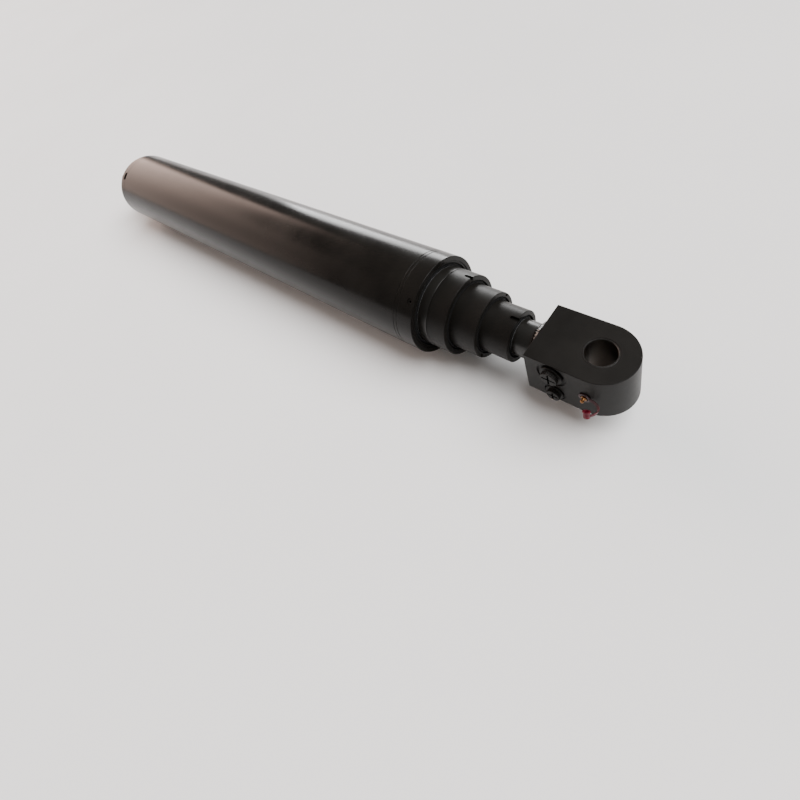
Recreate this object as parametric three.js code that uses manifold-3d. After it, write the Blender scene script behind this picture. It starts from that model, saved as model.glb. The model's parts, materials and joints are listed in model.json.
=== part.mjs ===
// Double-acting four-stage telescopic hydraulic cylinder, fully retracted.
// Millimetres. The origin is the centre of the rear pin bore, X runs along the
// cylinder towards the rod eye, Z is up and both pin bores run along Z.
// Angles round the cylinder start at the port side (-Y) and grow towards the top (+Z).

import * as THREE from 'three';
import { mergeVertices } from 'three/addons/utils/BufferGeometryUtils.js';
import Module from 'manifold-3d';

const wasm = await Module();
wasm.setup();

// ---- fits ----
const GAP = 0.3;                // between pieces that touch
const RUNNING_GAP = 0.6;        // metal to metal where one piece slides past another
const WELD_TOLERANCE = 0.0001;  // vertices closer than this are one vertex

// ---- how round things are drawn ----
const ROUND = 36;       // sides of the turned pieces
const PORT_ROUND = 24;  // sides of the ports and their plugs
const SMALL_ROUND = 16; // sides of nipples, caps and small screws
const HOLE_ROUND = 10;  // sides of oil and grease drillings

// ---- barrel ----
const BARREL_OUTER = 101.6;     // 8 in outside diameter
const BARREL_BORE = 92;
const BASE_FACE_X = 86.5;       // rear face of the base cap
const BASE_SEAM_X = 114;        // where base cap and barrel tube meet
const BASE_BOTTOM_X = 128;      // inside face of the base cap
const BASE_EDGE = 5;            // rounding of the rear edge
const COLLAR_SEAM_X = 1305;     // where barrel tube and collar meet
const BARREL_FACE_X = 1346;
const COLLAR_CHAMFER = 1;
const GLAND_REAR_X = 1225;
const GLAND_RECESS = 1.5;       // gland face below the collar face
const ORING_X = 1236;
const ORING_WIDTH = 5;
const ORING_DEPTH = 3.5;
const BASE_SLOT = { x: 108, along: 11, across: 22, depth: 5, angle: 57 };
const LOCK_SCREW = { x: 1336, angle: 48.5, radius: 6, bite: 3, sunk: 1.5, socket: 3, socketDepth: 4 };

// ---- sleeves, largest first; the visible head of each one ends at faceX ----
const SLEEVES = [
  { name: 'stage_1', outer: 81, bore: 72.5, seamX: 1366, faceX: 1409, notchAngle: 114, notchLength: 16 },
  { name: 'stage_2', outer: 65, bore: 57, seamX: 1405, faceX: 1465, notchAngle: -30, notchLength: 13 },
  { name: 'stage_3', outer: 50, bore: 42.5, seamX: 1461, faceX: 1524, notchAngle: 88, notchLength: 16 },
];
const SKIRT_LENGTH = 110;       // screwed part of a head inside its sleeve
const HEAD_CHAMFER = 1;
const NOTCH_WIDTH = 8;
const NOTCH_DEPTH = 6;

// ---- seals in the heads ----
const WIPER_LENGTH = 8;
const WIPER_DEPTH = 6;          // radial size of the wiper pocket
const WIPER_SUNK = 0.8;
const WIPER_LIP = 2.5;
const PACKING_DEPTH = 5;        // radial size of the packing groove
const PACKING_FROM_FACE = 13;   // front wall of the packing groove, behind the head face
const ROD_SEAL_LENGTH = 9;
const HEAD_GUIDE_LENGTH = 14;

// ---- pistons ----
const CLOSED_GAP = 0.5;         // sleeves stand this far off the base cap when closed
const PISTON_LENGTH = 45;
const PISTON_SPIGOT_STEP = 3.5; // how much smaller the sleeve is under its piston
const PISTON_GROOVE_START = 8;
const PISTON_GUIDE_LENGTH = 16;
const PISTON_SEAL_LENGTH = 12;
const OIL_HOLE_RADIUS = 5;
const OIL_HOLES = 4;
const OIL_HOLE_AHEAD = 17;      // oil holes ahead of the piston

// ---- plunger and oil transfer tube ----
const PLUNGER_OUTER = 35;
const PLUNGER_BORE = 27;
const PLUNGER_PISTON_CLOSURE = 12;
const TRANSFER_OUTER = 15;
const TRANSFER_BORE = 11;

// ---- rod eye block ----
const PIN_CENTRES = 1673;       // closed, pin to pin
const BLOCK_BACK_X = 1567;
const BLOCK_HALF_WIDTH = 60;    // also the radius of its round end
const BLOCK_HALF_HEIGHT = 47;
const EDGE_BREAK = 0.8;
const SOCKET_DEPTH = 35;
const TRANSFER_SOCKET_X = 1626;
const BUSH_OUTER = 28;
const BUSH_BORE = 25.7;         // for 2 in pins
const BUSH_SUNK = 0.4;
const BUSH_CHAMFER = 0.7;
const RETRACT_DRILL = { x: 1619, z: -21, radius: 4.5 };

// ---- ports: centre on the block's side face ----
const PORT_LARGE = {
  name: 'port_large', x: 1615.5, z: 20, spotface: 25.6, thread: 16.5, drill: 10, drillEndY: 0,
  flange: 20, boss: 15, bossLength: 8, crossWidth: 3,
};
const PORT_SMALL = {
  name: 'port_small', x: 1619, z: -27.5, spotface: 18.5, thread: 13.5, drill: 6.5, drillEndY: 4,
  flange: 16, boss: 12, bossLength: 7, crossWidth: 2.8,
};
const SPOTFACE_DEPTH = 3;
const THREAD_DEPTH = 22;
const PLUG_SHANK = 17;
const SEAL_THICKNESS = 1.4;
const FLANGE_THICKNESS = 3;
const CROSS_DEPTH = 5;

// ---- rear eye ----
const REAR_HALF_WIDTH = 44;     // also the radius of its round end
const REAR_HALF_HEIGHT = 38;    // 3 in thick

// ---- grease nipples, radii and lengths out of the side face ----
const NIPPLE_THREAD = 4.2;
const NIPPLE_THREAD_LENGTH = 9;
const NIPPLE_HEXAGON = { radius: 6, length: 4 };
const NIPPLE_NECK = { radius: 2.6, length: 8 };
const NIPPLE_HEAD = { radius: 3.3, start: 9, length: 12, tip: 1.6 };
const GREASE_DRILL = 2;

// ---- nipple caps ----
const CAP_RING = { inner: 6.4, outer: 9.5, length: 3 };
const CAP_CUP = { bore: 4, wall: 1.5, lip: 1, lipLength: 2 };
const STRAP_WIDTH = 5;
const STRAP_THICKNESS = 1.8;
const REAR_CUP = { out: 4.5, depth: 19 };     // fitted over its nipple
const HANGING_CUP = { x: 11, out: 17.5, z: -8.5, depth: 12, direction: [0.25, -0.5, -0.83] };

// ---- looks ----
const PAINT = { color: 0x1b1a19, roughness: 0.3, metalness: 0.25 };
const SATIN_PAINT = { color: 0x2c2a28, roughness: 0.5, metalness: 0.25 };
const STEEL = { color: 0x8d8f92, roughness: 0.4, metalness: 0.9 };
const CHROME = { color: 0xcfd2d6, roughness: 0.12, metalness: 1 };
const BRONZE = { color: 0x8a6335, roughness: 0.4, metalness: 0.9 };
const BRASS = { color: 0xb9964e, roughness: 0.3, metalness: 0.9 };
const RUBBER = { color: 0x111111, roughness: 0.8, metalness: 0 };
const URETHANE = { color: 0x243a5e, roughness: 0.5, metalness: 0 };
const PHENOLIC = { color: 0x6b4a2b, roughness: 0.7, metalness: 0 };
const RED_PLASTIC = { color: 0xb3262a, roughness: 0.4, metalness: 0 };

// ======== solids ========

function toSolid(geometry) {
  geometry.deleteAttribute('normal');
  geometry.deleteAttribute('uv');
  const welded = mergeVertices(geometry, WELD_TOLERANCE);
  const index = welded.index.array;
  const triangles = [];
  for (let i = 0; i < index.length; i += 3) {
    const [a, b, c] = [index[i], index[i + 1], index[i + 2]];
    if (a !== b && b !== c && c !== a) {
      triangles.push(a, b, c);
    }
  }
  const mesh = new wasm.Mesh({
    numProp: 3,
    vertProperties: new Float32Array(welded.attributes.position.array),
    triVerts: new Uint32Array(triangles),
  });
  return new wasm.Manifold(mesh);
}

// A piece turned about X. The profile is a list of [x, radius], front wall first
// on the outside, so it runs up the outside and back along the bore.
function turned(profile, segments = ROUND, placement = null) {
  const points = profile.map(([x, radius]) => new THREE.Vector2(radius, x));
  if (profile[0][1] > 0) {
    points.push(points[0].clone());
  }
  const lathe = new THREE.LatheGeometry(points, segments);
  lathe.rotateZ(-Math.PI / 2);
  if (placement) {
    lathe.applyMatrix4(placement);
  }
  return toSolid(lathe);
}

function ring(x0, x1, inner, outer, segments = ROUND) {
  return turned([[x0, inner], [x0, outer], [x1, outer], [x1, inner]], segments);
}

// A round bar between two points, used to cut holes.
function bar(start, end, radius, segments = HOLE_ROUND) {
  const from = new THREE.Vector3(...start);
  const to = new THREE.Vector3(...end);
  const along = to.clone().sub(from);
  const cylinder = new THREE.CylinderGeometry(radius, radius, along.length(), segments);
  const turn = new THREE.Quaternion().setFromUnitVectors(new THREE.Vector3(0, 1, 0), along.normalize());
  cylinder.applyQuaternion(turn);
  const middle = from.add(to).multiplyScalar(0.5);
  cylinder.translate(middle.x, middle.y, middle.z);
  return toSolid(cylinder);
}

function box(sizeX, sizeY, sizeZ, centre, placement = null) {
  const block = new THREE.BoxGeometry(sizeX, sizeY, sizeZ);
  block.translate(...centre);
  if (placement) {
    block.applyMatrix4(placement);
  }
  return toSolid(block);
}

function radians(degrees) {
  return degrees * Math.PI / 180;
}

// A point at this distance from the cylinder's axis.
function roundPoint(x, radius, angle) {
  return [x, -radius * Math.cos(radians(angle)), radius * Math.sin(radians(angle))];
}

// Turns something drawn above the axis (+Z) to this angle round the cylinder.
function roundTo(angle) {
  return new THREE.Matrix4().makeRotationX(radians(90 - angle));
}

// Places something drawn along +X so that it points out of the port side (-Y).
function outOfPortSide(x, y, z) {
  const turn = new THREE.Matrix4().makeRotationZ(-Math.PI / 2);
  return new THREE.Matrix4().makeTranslation(x, y, z).multiply(turn);
}

const part = new THREE.Group();
part.name = 'telescopic_hydraulic_cylinder';

function add(name, solid, look) {
  const mesh = solid.getMesh();
  const geometry = new THREE.BufferGeometry();
  geometry.setAttribute('position', new THREE.BufferAttribute(new Float32Array(mesh.vertProperties), 3));
  geometry.setIndex(new THREE.BufferAttribute(new Uint32Array(mesh.triVerts), 1));
  const flat = geometry.toNonIndexed();
  flat.computeVertexNormals();
  const node = new THREE.Mesh(flat, new THREE.MeshStandardMaterial(look));
  node.name = name;
  part.add(node);
}

// ======== pieces used more than once ========

// The packing groove of a head: guide ring at the back, rod seal in front of it.
function packing(faceX) {
  const front = faceX - PACKING_FROM_FACE;
  const rear = front - ROD_SEAL_LENGTH - HEAD_GUIDE_LENGTH - 3 * GAP;
  return { front, rear };
}

// Guide ring, rod seal and wiper that a head carries round the piece sliding in it.
function addHeadSeals(name, faceX, slidingRadius) {
  const groove = packing(faceX);
  const bore = slidingRadius + RUNNING_GAP;
  const touching = slidingRadius + GAP;
  const ringOuter = bore + PACKING_DEPTH - GAP;
  const guideX = groove.rear + GAP;
  const sealX = guideX + HEAD_GUIDE_LENGTH + GAP;
  add(`${name}_guide_ring`, ring(guideX, guideX + HEAD_GUIDE_LENGTH, touching, ringOuter), PHENOLIC);
  add(`${name}_rod_seal`, ring(sealX, sealX + ROD_SEAL_LENGTH, touching, ringOuter), URETHANE);

  const wiperRear = faceX - WIPER_LENGTH + GAP;
  const wiperFront = faceX - WIPER_SUNK;
  const wiperOuter = bore + WIPER_DEPTH - GAP;
  const wiper = turned([
    [wiperRear, touching],
    [wiperRear, wiperOuter],
    [wiperFront - WIPER_LIP, wiperOuter],
    [wiperFront, touching + WIPER_LIP],
    [wiperFront, touching],
  ]);
  add(`${name}_wiper`, wiper, RUBBER);
}

// The bore of a head, from its face back to its rear end.
function headBore(faceX, rearX, slidingRadius) {
  const groove = packing(faceX);
  const bore = slidingRadius + RUNNING_GAP;
  return [
    [faceX, bore + WIPER_DEPTH],
    [faceX - WIPER_LENGTH, bore + WIPER_DEPTH],
    [faceX - WIPER_LENGTH, bore],
    [groove.front, bore],
    [groove.front, bore + PACKING_DEPTH],
    [groove.rear, bore + PACKING_DEPTH],
    [groove.rear, bore],
    [rearX, bore],
  ];
}

// A hook-spanner notch cut into the front edge of a head, with a round blind end.
function notch(faceX, outer, length, angle) {
  const placement = roundTo(angle);
  const roundEndX = faceX - length + NOTCH_WIDTH / 2;
  const pastFace = 2;
  const height = NOTCH_DEPTH * 2;
  const slotLength = faceX + pastFace - roundEndX;
  const slot = box(slotLength, NOTCH_WIDTH, height, [roundEndX + slotLength / 2, 0, outer], placement);
  const end = bar(
    roundPoint(roundEndX, outer - NOTCH_DEPTH, angle),
    roundPoint(roundEndX, outer + NOTCH_DEPTH, angle),
    NOTCH_WIDTH / 2,
  );
  return slot.add(end);
}

const PISTON_REAR_X = BASE_BOTTOM_X + CLOSED_GAP;
const PISTON_FRONT_X = PISTON_REAR_X + PISTON_LENGTH;

// The outside of a piston, with one groove for its guide ring and seal.
function pistonOutside(outer) {
  const grooveX = PISTON_REAR_X + PISTON_GROOVE_START;
  const grooveEndX = grooveX + PISTON_GUIDE_LENGTH + PISTON_SEAL_LENGTH + 3 * GAP;
  return [
    [PISTON_REAR_X, outer],
    [grooveX, outer],
    [grooveX, outer - PACKING_DEPTH],
    [grooveEndX, outer - PACKING_DEPTH],
    [grooveEndX, outer],
    [PISTON_FRONT_X, outer],
  ];
}

function addPistonSeals(name, tubeBore) {
  const outer = tubeBore - GAP;
  const inner = tubeBore - RUNNING_GAP - PACKING_DEPTH + GAP;
  const guideX = PISTON_REAR_X + PISTON_GROOVE_START + GAP;
  const sealX = guideX + PISTON_GUIDE_LENGTH + GAP;
  add(`${name}_piston_guide_ring`, ring(guideX, guideX + PISTON_GUIDE_LENGTH, inner, outer), PHENOLIC);
  add(`${name}_piston_seal`, ring(sealX, sealX + PISTON_SEAL_LENGTH, inner, outer), URETHANE);
}

// Drills the oil holes ahead of the piston through the wall of a sleeve.
function withOilHoles(tube, outer, radius) {
  let drilled = tube;
  const x = PISTON_FRONT_X + OIL_HOLE_AHEAD;
  for (let i = 0; i < OIL_HOLES; i += 1) {
    const angle = 45 + i * 360 / OIL_HOLES;
    const wall = outer * 0.5;
    drilled = drilled.subtract(bar(roundPoint(x, wall, angle), roundPoint(x, outer + 1, angle), radius));
  }
  return drilled;
}

// An eye with one round end centred on pinX and a flat end at flatX.
function eye(pinX, flatX, halfWidth, halfHeight) {
  const away = Math.sign(pinX - flatX);
  const edge = EDGE_BREAK;
  const width = halfWidth - edge;
  const outline = new THREE.Shape();
  outline.moveTo(flatX + away * edge, -away * width);
  outline.lineTo(pinX, -away * width);
  const startAngle = away > 0 ? -Math.PI / 2 : Math.PI / 2;
  outline.absarc(pinX, 0, width, startAngle, startAngle + Math.PI);
  outline.lineTo(flatX + away * edge, away * width);
  const body = new THREE.ExtrudeGeometry(outline, {
    depth: 2 * (halfHeight - edge),
    bevelEnabled: true,
    bevelThickness: edge,
    bevelSize: edge,
    bevelSegments: 1,
    curveSegments: ROUND / 2,
  });
  body.translate(0, 0, edge - halfHeight);
  const bore = bar([pinX, 0, -halfHeight - 1], [pinX, 0, halfHeight + 1], BUSH_OUTER + GAP, ROUND);
  return toSolid(body).subtract(bore);
}

// The plain bush of an eye, with the grease hole on the port side.
function bush(pinX, halfHeight) {
  const end = halfHeight - BUSH_SUNK;
  const standing = new THREE.Matrix4().makeTranslation(pinX, 0, 0);
  standing.multiply(new THREE.Matrix4().makeRotationY(-Math.PI / 2));
  const plain = turned([
    [-end, BUSH_BORE + BUSH_CHAMFER],
    [-end, BUSH_OUTER],
    [end, BUSH_OUTER],
    [end, BUSH_BORE + BUSH_CHAMFER],
    [end - BUSH_CHAMFER, BUSH_BORE],
    [BUSH_CHAMFER - end, BUSH_BORE],
  ], ROUND, standing);
  const grease = bar([pinX, -BUSH_BORE + 2, 0], [pinX, -BUSH_OUTER - 1, 0], GREASE_DRILL);
  return plain.subtract(grease);
}

// The tapped hole and the drilling that lead grease from the side face to the bush.
function greaseHole(pinX, sideY) {
  const thread = bar(
    [pinX, sideY - 1, 0],
    [pinX, sideY + NIPPLE_THREAD_LENGTH + 1, 0],
    NIPPLE_THREAD + GAP,
    SMALL_ROUND,
  );
  const drill = bar([pinX, sideY, 0], [pinX, -BUSH_OUTER + 1, 0], GREASE_DRILL);
  return thread.add(drill);
}

// Grease nipple: thread, hexagon, neck and the rounded head a grease gun grips.
function nipple(pinX, sideY) {
  const placement = outOfPortSide(pinX, sideY, 0);
  const headTaper = NIPPLE_HEAD.radius - NIPPLE_HEAD.tip;
  const turnedPart = turned([
    [-NIPPLE_THREAD_LENGTH, 0],
    [-NIPPLE_THREAD_LENGTH, NIPPLE_THREAD],
    [1, NIPPLE_THREAD],
    [NIPPLE_HEXAGON.length, NIPPLE_NECK.radius],
    [NIPPLE_NECK.length, NIPPLE_NECK.radius],
    [NIPPLE_HEAD.start, NIPPLE_HEAD.radius],
    [NIPPLE_HEAD.length - headTaper, NIPPLE_HEAD.radius],
    [NIPPLE_HEAD.length, NIPPLE_HEAD.tip],
    [NIPPLE_HEAD.length, 0],
  ], SMALL_ROUND, placement);
  const hexagon = turned([
    [GAP, 0],
    [GAP, NIPPLE_HEXAGON.radius],
    [NIPPLE_HEXAGON.length, NIPPLE_HEXAGON.radius],
    [NIPPLE_HEXAGON.length, 0],
  ], 6, placement);
  return turnedPart.add(hexagon);
}

function strap(points) {
  const cross = new THREE.Shape();
  cross.moveTo(-STRAP_THICKNESS / 2, -STRAP_WIDTH / 2);
  cross.lineTo(STRAP_THICKNESS / 2, -STRAP_WIDTH / 2);
  cross.lineTo(STRAP_THICKNESS / 2, STRAP_WIDTH / 2);
  cross.lineTo(-STRAP_THICKNESS / 2, STRAP_WIDTH / 2);
  cross.closePath();
  const path = new THREE.CatmullRomCurve3(points.map((point) => new THREE.Vector3(...point)));
  return toSolid(new THREE.ExtrudeGeometry(cross, { steps: 14, bevelEnabled: false, extrudePath: path }));
}

// The ring of a nipple cap, clipped round the nipple's hexagon.
function capRing(pinX, sideY) {
  return turned([
    [GAP, CAP_RING.inner],
    [GAP, CAP_RING.outer],
    [CAP_RING.length, CAP_RING.outer],
    [CAP_RING.length, CAP_RING.inner],
  ], SMALL_ROUND, outOfPortSide(pinX, sideY, 0));
}

// The cup of a nipple cap; depth is how far it reaches over the nipple.
function capCup(placement, depth) {
  const { bore, wall, lip, lipLength } = CAP_CUP;
  const outer = bore + wall;
  return turned([
    [0, bore],
    [0, outer + lip],
    [lipLength, outer + lip],
    [lipLength + lip, outer],
    [depth - wall, outer],
    [depth, bore],
    [depth, 0],
    [depth - wall, 0],
    [depth - wall, bore],
  ], SMALL_ROUND, placement);
}

// ======== barrel ========

const baseSlot = box(
  BASE_SLOT.along,
  BASE_SLOT.across,
  2 * BASE_SLOT.depth,
  [BASE_SLOT.x, 0, BARREL_OUTER],
  roundTo(BASE_SLOT.angle),
);
const baseCap = turned([
  [BASE_FACE_X, 0],
  [BASE_FACE_X, BARREL_OUTER - BASE_EDGE],
  [BASE_FACE_X + BASE_EDGE * 0.3, BARREL_OUTER - BASE_EDGE * 0.3],
  [BASE_FACE_X + BASE_EDGE, BARREL_OUTER],
  [BASE_SEAM_X, BARREL_OUTER],
  [BASE_SEAM_X, BARREL_BORE - GAP],
  [BASE_BOTTOM_X, BARREL_BORE - GAP],
  [BASE_BOTTOM_X, 0],
]);
add('base_cap', baseCap.subtract(baseSlot), PAINT);

add('barrel_tube', ring(BASE_SEAM_X + GAP, COLLAR_SEAM_X - GAP, BARREL_BORE, BARREL_OUTER), PAINT);

const rearEye = eye(0, BASE_FACE_X - GAP, REAR_HALF_WIDTH, REAR_HALF_HEIGHT);
add('rear_eye', rearEye.subtract(greaseHole(0, -REAR_HALF_WIDTH)), SATIN_PAINT);
add('rear_bush', bush(0, REAR_HALF_HEIGHT), BRONZE);
add('rear_grease_nipple', nipple(0, -REAR_HALF_WIDTH), BRASS);

const rearCup = capCup(outOfPortSide(0, -REAR_HALF_WIDTH - REAR_CUP.out, 0), REAR_CUP.depth);
const rearStrap = strap([
  [-8.5, -REAR_HALF_WIDTH - 1.7, 0],
  [-12, -REAR_HALF_WIDTH - 5, 0],
  [-12.5, -REAR_HALF_WIDTH - 14, 0],
  [-9, -REAR_HALF_WIDTH - 22, 0],
  [-2, -REAR_HALF_WIDTH - 23, 0],
]);
add('rear_nipple_cap', capRing(0, -REAR_HALF_WIDTH).add(rearStrap).add(rearCup), RED_PLASTIC);

const lockHole = bar(
  roundPoint(LOCK_SCREW.x, BARREL_BORE - LOCK_SCREW.bite, LOCK_SCREW.angle),
  roundPoint(LOCK_SCREW.x, BARREL_OUTER + 1, LOCK_SCREW.angle),
  LOCK_SCREW.radius + GAP,
  SMALL_ROUND,
);
const collar = turned([
  [COLLAR_SEAM_X, BARREL_BORE],
  [COLLAR_SEAM_X, BARREL_OUTER],
  [BARREL_FACE_X - COLLAR_CHAMFER, BARREL_OUTER],
  [BARREL_FACE_X, BARREL_OUTER - COLLAR_CHAMFER],
  [BARREL_FACE_X, BARREL_BORE],
]);
add('barrel_collar', collar.subtract(lockHole), PAINT);

const glandFaceX = BARREL_FACE_X - GLAND_RECESS;
const glandOuter = BARREL_BORE - GAP;
const gland = turned([
  [GLAND_REAR_X, glandOuter],
  [ORING_X, glandOuter],
  [ORING_X, glandOuter - ORING_DEPTH],
  [ORING_X + ORING_WIDTH, glandOuter - ORING_DEPTH],
  [ORING_X + ORING_WIDTH, glandOuter],
  [glandFaceX, glandOuter],
  ...headBore(glandFaceX, GLAND_REAR_X, SLEEVES[0].outer),
]);
add('barrel_gland', gland.subtract(lockHole), SATIN_PAINT);
addHeadSeals('barrel', glandFaceX, SLEEVES[0].outer);
add('barrel_gland_oring', ring(
  ORING_X + GAP,
  ORING_X + ORING_WIDTH - GAP,
  glandOuter - ORING_DEPTH + GAP,
  glandOuter,
), RUBBER);

const screwFoot = roundPoint(LOCK_SCREW.x, BARREL_BORE - LOCK_SCREW.bite + 2 * GAP, LOCK_SCREW.angle);
const screwTop = roundPoint(LOCK_SCREW.x, BARREL_OUTER - LOCK_SCREW.sunk, LOCK_SCREW.angle);
const socketFoot = roundPoint(
  LOCK_SCREW.x,
  BARREL_OUTER - LOCK_SCREW.sunk - LOCK_SCREW.socketDepth,
  LOCK_SCREW.angle,
);
const socketTop = roundPoint(LOCK_SCREW.x, BARREL_OUTER, LOCK_SCREW.angle);
const lockScrew = bar(screwFoot, screwTop, LOCK_SCREW.radius, SMALL_ROUND);
add('lock_screw', lockScrew.subtract(bar(socketFoot, socketTop, LOCK_SCREW.socket, 6)), STEEL);

// ======== sleeves ========

SLEEVES.forEach((sleeve, i) => {
  const sliding = i + 1 < SLEEVES.length ? SLEEVES[i + 1].outer : PLUNGER_OUTER;
  const surrounding = i > 0 ? SLEEVES[i - 1].bore : BARREL_BORE;
  const spigot = sleeve.outer - PISTON_SPIGOT_STEP;

  const tube = turned([
    [PISTON_REAR_X, sleeve.bore],
    [PISTON_REAR_X, spigot],
    [PISTON_FRONT_X + GAP, spigot],
    [PISTON_FRONT_X + GAP, sleeve.outer],
    [sleeve.seamX - GAP, sleeve.outer],
    [sleeve.seamX - GAP, sleeve.bore],
  ]);
  add(`${sleeve.name}_tube`, withOilHoles(tube, sleeve.outer, OIL_HOLE_RADIUS), CHROME);

  const skirtX = sleeve.seamX - SKIRT_LENGTH;
  const plainHead = turned([
    [skirtX, sleeve.bore - GAP],
    [sleeve.seamX, sleeve.bore - GAP],
    [sleeve.seamX, sleeve.outer],
    [sleeve.faceX - HEAD_CHAMFER, sleeve.outer],
    [sleeve.faceX, sleeve.outer - HEAD_CHAMFER],
    ...headBore(sleeve.faceX, skirtX, sliding),
  ]);
  const firstNotch = notch(sleeve.faceX, sleeve.outer, sleeve.notchLength, sleeve.notchAngle);
  const secondNotch = notch(sleeve.faceX, sleeve.outer, sleeve.notchLength, sleeve.notchAngle + 180);
  add(`${sleeve.name}_head`, plainHead.subtract(firstNotch).subtract(secondNotch), SATIN_PAINT);
  addHeadSeals(sleeve.name, sleeve.faceX, sliding);

  const piston = turned([
    ...pistonOutside(surrounding - RUNNING_GAP),
    [PISTON_FRONT_X, spigot + GAP],
    [PISTON_REAR_X, spigot + GAP],
  ]);
  add(`${sleeve.name}_piston`, piston, STEEL);
  addPistonSeals(sleeve.name, surrounding);
});

// ======== plunger ========

const lastBore = SLEEVES[SLEEVES.length - 1].bore;
const plungerSpigot = PLUNGER_OUTER - PISTON_SPIGOT_STEP;
const plungerRearX = PISTON_REAR_X + PLUNGER_PISTON_CLOSURE + GAP;
const plungerEndX = BLOCK_BACK_X + SOCKET_DEPTH - GAP;
const plunger = turned([
  [plungerRearX, PLUNGER_BORE],
  [plungerRearX, plungerSpigot],
  [PISTON_FRONT_X + GAP, plungerSpigot],
  [PISTON_FRONT_X + GAP, PLUNGER_OUTER],
  [plungerEndX, PLUNGER_OUTER],
  [plungerEndX, PLUNGER_BORE],
]);
add('plunger_tube', withOilHoles(plunger, PLUNGER_OUTER, OIL_HOLE_RADIUS - 1), CHROME);

const plungerPiston = turned([
  ...pistonOutside(lastBore - RUNNING_GAP),
  [PISTON_FRONT_X, plungerSpigot + GAP],
  [PISTON_REAR_X + PLUNGER_PISTON_CLOSURE, plungerSpigot + GAP],
  [PISTON_REAR_X + PLUNGER_PISTON_CLOSURE, TRANSFER_OUTER + GAP],
  [PISTON_REAR_X, TRANSFER_OUTER + GAP],
]);
add('plunger_piston', plungerPiston, STEEL);
addPistonSeals('plunger', lastBore);
add('transfer_tube', ring(
  PISTON_REAR_X,
  TRANSFER_SOCKET_X - GAP,
  TRANSFER_BORE,
  TRANSFER_OUTER,
  SMALL_ROUND,
), STEEL);

// ======== rod eye block ========

const portSideY = -BLOCK_HALF_WIDTH;

function portCut(port) {
  const floorY = portSideY + SPOTFACE_DEPTH;
  const spotface = bar([port.x, portSideY - 2, port.z], [port.x, floorY, port.z], port.spotface, ROUND);
  const threadEndY = floorY + THREAD_DEPTH;
  const thread = bar([port.x, floorY - 1, port.z], [port.x, threadEndY, port.z], port.thread, PORT_ROUND);
  const drill = bar([port.x, floorY, port.z], [port.x, port.drillEndY, port.z], port.drill, SMALL_ROUND);
  return spotface.add(thread).add(drill);
}

let block = eye(PIN_CENTRES, BLOCK_BACK_X, BLOCK_HALF_WIDTH, BLOCK_HALF_HEIGHT);
block = block.subtract(bar(
  [BLOCK_BACK_X - 1, 0, 0],
  [BLOCK_BACK_X + SOCKET_DEPTH, 0, 0],
  PLUNGER_OUTER + GAP,
  ROUND,
));
block = block.subtract(bar(
  [BLOCK_BACK_X, 0, 0],
  [TRANSFER_SOCKET_X, 0, 0],
  TRANSFER_OUTER + GAP,
  SMALL_ROUND,
));
block = block.subtract(bar(
  [BLOCK_BACK_X + SOCKET_DEPTH - 1, 0, RETRACT_DRILL.z],
  [RETRACT_DRILL.x, 0, RETRACT_DRILL.z],
  RETRACT_DRILL.radius,
));
block = block.subtract(portCut(PORT_LARGE)).subtract(portCut(PORT_SMALL));
block = block.subtract(greaseHole(PIN_CENTRES, portSideY));
add('eye_block', block, SATIN_PAINT);
add('eye_bush', bush(PIN_CENTRES, BLOCK_HALF_HEIGHT), BRONZE);

function addPortPlug(port) {
  const floor = -SPOTFACE_DEPTH;
  const placement = outOfPortSide(port.x, portSideY, port.z);
  const flangeStart = floor + 2 * GAP + SEAL_THICKNESS;
  const flangeEnd = flangeStart + FLANGE_THICKNESS;
  const bossEnd = flangeEnd + port.bossLength;
  const shank = port.thread - GAP;
  const body = turned([
    [floor - PLUG_SHANK, 0],
    [floor - PLUG_SHANK, shank],
    [flangeStart, shank],
    [flangeStart, port.flange],
    [flangeEnd, port.flange],
    [flangeEnd, port.boss],
    [bossEnd, port.boss],
    [bossEnd, 0],
  ], PORT_ROUND, placement);
  const reach = 2 * port.boss - 2 * port.crossWidth;
  const slotX = bossEnd - CROSS_DEPTH / 2 + 0.5;
  const slotA = box(CROSS_DEPTH + 1, reach, port.crossWidth, [slotX, 0, 0], placement);
  const slotB = box(CROSS_DEPTH + 1, port.crossWidth, reach, [slotX, 0, 0], placement);
  add(`${port.name}_plug`, body.subtract(slotA.add(slotB)), SATIN_PAINT);

  const seal = turned([
    [floor + GAP, port.thread + 0.2],
    [floor + GAP, port.flange - 0.5],
    [floor + GAP + SEAL_THICKNESS, port.flange - 0.5],
    [floor + GAP + SEAL_THICKNESS, port.thread + 0.2],
  ], PORT_ROUND, placement);
  add(`${port.name}_seal`, seal, RUBBER);
}

addPortPlug(PORT_LARGE);
addPortPlug(PORT_SMALL);

add('eye_grease_nipple', nipple(PIN_CENTRES, portSideY), BRASS);
const cupPlacement = new THREE.Matrix4().compose(
  new THREE.Vector3(PIN_CENTRES + HANGING_CUP.x, portSideY - HANGING_CUP.out, HANGING_CUP.z),
  new THREE.Quaternion().setFromUnitVectors(
    new THREE.Vector3(1, 0, 0),
    new THREE.Vector3(...HANGING_CUP.direction).normalize(),
  ),
  new THREE.Vector3(1, 1, 1),
);
const hangingCup = capCup(cupPlacement, HANGING_CUP.depth);
const hangingStrap = strap([
  [PIN_CENTRES + 8.2, portSideY - 1.7, 1],
  [PIN_CENTRES + 16, portSideY - 2.4, 0],
  [PIN_CENTRES + 23, portSideY - 4, -4],
  [PIN_CENTRES + 25.5, portSideY - 9, -9],
  [PIN_CENTRES + 22.5, portSideY - 15, -13],
  [PIN_CENTRES + 17, portSideY - 20, -14.5],
]);
add('eye_nipple_cap', capRing(PIN_CENTRES, portSideY).add(hangingStrap).add(hangingCup), RED_PLASTIC);

export default part;
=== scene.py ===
import json
import math

import bpy
import bmesh
from mathutils import Matrix, Vector


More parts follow.
